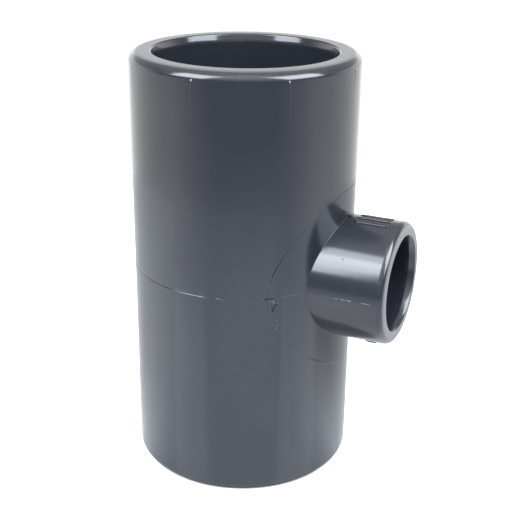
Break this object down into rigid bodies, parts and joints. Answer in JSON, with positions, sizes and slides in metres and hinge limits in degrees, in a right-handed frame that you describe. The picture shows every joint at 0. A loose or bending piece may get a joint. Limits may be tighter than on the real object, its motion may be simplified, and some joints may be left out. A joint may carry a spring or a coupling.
{
  "type": "pvc reducing tee fitting",
  "caption": "Solvent-weld pipe tee: a straight run with a deep socket at each end and a smaller socket branching off square at mid-length.",
  "frame": {"origin": "centre of the lower rim, on the run's axis", "axes": "+Z along the run's axis to the upper mouth, +X along the branch's axis to its mouth, +Y across both; the branch's axis crosses the run's at z = 0.076 m"},
  "size_m": [0.1004, 0.08, 0.152],
  "materials": {
    "run_pvc": "satin",
    "saddle_pvc": "satin",
    "branch_pvc": "satin"
  },
  "bodies": {
    "root": {"upper_run_socket": "run_pvc", "lower_run_socket": "run_pvc", "branch_saddle": "saddle_pvc", "branch_socket": "branch_pvc", "branch_marks": "branch_pvc"}
  },
  "joints": []
}
